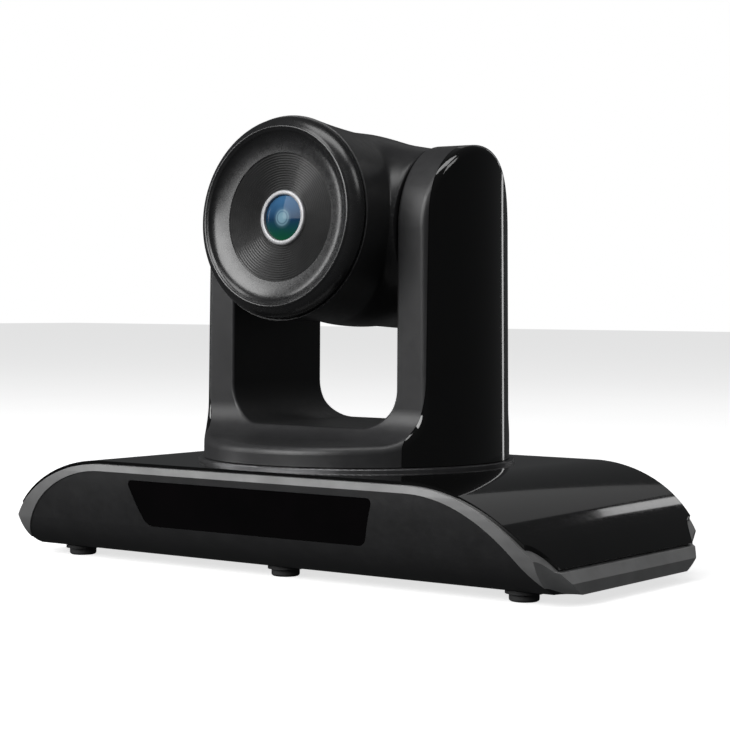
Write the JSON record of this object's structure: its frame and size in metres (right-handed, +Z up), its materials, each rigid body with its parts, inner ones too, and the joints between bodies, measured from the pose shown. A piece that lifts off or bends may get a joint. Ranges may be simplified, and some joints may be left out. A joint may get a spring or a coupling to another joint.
{
  "type": "ptz camera",
  "caption": "Desktop pan, tilt and zoom camera: arched base with rear sockets, U-shaped yoke that pans and a round camera head that tilts between its arms.",
  "frame": {"origin": "middle of the base on the desk, at the soles of the feet", "axes": "+X to the right seen from the front, -Y the way the lens looks at rest, +Z up"},
  "size_m": [0.24, 0.1242, 0.161],
  "materials": {
    "base_plastic": "fine texture",
    "trim_metal": "satin",
    "gloss_black": "piano black",
    "window_black": "infrared window",
    "yoke_plastic": "fine texture",
    "head_plastic": "satin",
    "bezel_black": "polished",
    "cone_black": "ribbed satin",
    "ring_silver": "satin",
    "ring_chrome": "polished",
    "optics": "coated",
    "rubber": "matte",
    "steel": "plain",
    "black_steel": "black powder coat",
    "brass": "plain",
    "socket_metal": "plated",
    "socket_black": "plain",
    "gear_white": "moulded",
    "board_green": "solder mask",
    "light_clear": "clear",
    "wire_grey": "sleeve"
  },
  "bodies": {
    "base": {"base_shell": "base_plastic", "base_trim": "trim_metal", "top_panel": "gloss_black", "front_window": "window_black", "indicator_lights": "light_clear", "infrared_receiver": "socket_black", "bottom_plate": "black_steel", "tripod_insert": "brass", "base_screws": "steel", "rubber_feet": "rubber", "main_board": "board_green", "rear_panel": "black_steel", "network_socket": "socket_metal", "video_socket": "socket_metal", "usb_socket": "socket_metal", "power_socket": "socket_black", "serial_sockets": "socket_black", "switch_frame": "socket_black", "dial_housing": "socket_black", "turntable_ring": "ring_chrome", "pan_bearing": "steel", "pan_motor": "steel", "pan_motor_screws": "steel"},
    "pan_drive": {"pan_pinion": "brass"},
    "power_switch": {"power_rocker": "socket_black"},
    "number_dial": {"id_dial": "gear_white"},
    "yoke": {"yoke_frame": "yoke_plastic", "yoke_base_plate": "black_steel", "yoke_screws": "steel", "side_cover_left": "gloss_black", "side_cover_right": "gloss_black", "cover_screws": "steel", "tilt_bearings": "brass", "tilt_motor": "steel", "tilt_motor_screws": "steel", "pan_shaft": "steel", "pan_gear": "gear_white", "retaining_ring": "steel", "wire_harness": "wire_grey"},
    "tilt_drive": {"tilt_pinion": "brass"},
    "head": {"head_shell": "head_plastic", "rear_cover": "head_plastic", "rear_cover_screws": "steel", "lens_bezel": "bezel_black", "lens_cone": "cone_black", "lens_ring": "ring_silver", "front_lens": "optics", "lens_barrel": "black_steel", "guide_rods": "steel", "sensor_board": "board_green", "tilt_shaft_left": "steel", "tilt_shaft_right": "steel", "tilt_gear": "gear_white"},
    "zoom_group": {"zoom_carrier": "socket_black", "zoom_lens": "optics"},
    "focus_group": {"focus_carrier": "socket_black", "focus_lens": "optics"}
  },
  "joints": [
    {"name": "pan", "type": "hinge", "parent": "base", "child": "yoke", "pos_m": [0, 0.0037, 0.04], "axis": [0, 0, 1], "range_deg": [-170, 170]},
    {"name": "pan_pinion_spin", "type": "hinge", "parent": "base", "child": "pan_drive", "pos_m": [-0.032, 0.0037, 0.02], "axis": [0, 0, 1], "range_deg": [-512, 512]},
    {"name": "tilt", "type": "hinge", "parent": "yoke", "child": "head", "pos_m": [0, 0.0037, 0.122], "axis": [-1, 0, 0], "range_deg": [-34.2, 85.8]},
    {"name": "tilt_pinion_spin", "type": "hinge", "parent": "yoke", "child": "tilt_drive", "pos_m": [0.042, 0.0037, 0.0996], "axis": [-1, 0, 0], "range_deg": [-217, 87]},
    {"name": "zoom_slide", "type": "slide", "parent": "head", "child": "zoom_group", "axis": [0, -0.9973, 0.0732], "range_m": [-0.012, 0.015]},
    {"name": "focus_slide", "type": "slide", "parent": "head", "child": "focus_group", "axis": [0, -0.9973, 0.0732], "range_m": [-0.004, 0.004]},
    {"name": "power_rocker_tilt", "type": "hinge", "parent": "base", "child": "power_switch", "pos_m": [-0.06, 0.056, 0.019], "axis": [0, 0, 1], "range_deg": [0, 14]},
    {"name": "number_dial_turn", "type": "hinge", "parent": "base", "child": "number_dial", "pos_m": [-0.028, 0.055, 0.019], "axis": [0, 1, 0], "continuous": true}
  ],
  "couplings": [
    {"joint": "pan_pinion_spin", "follows": "pan", "ratio": -3},
    {"joint": "tilt_pinion_spin", "follows": "tilt", "ratio": -2.5}
  ]
}
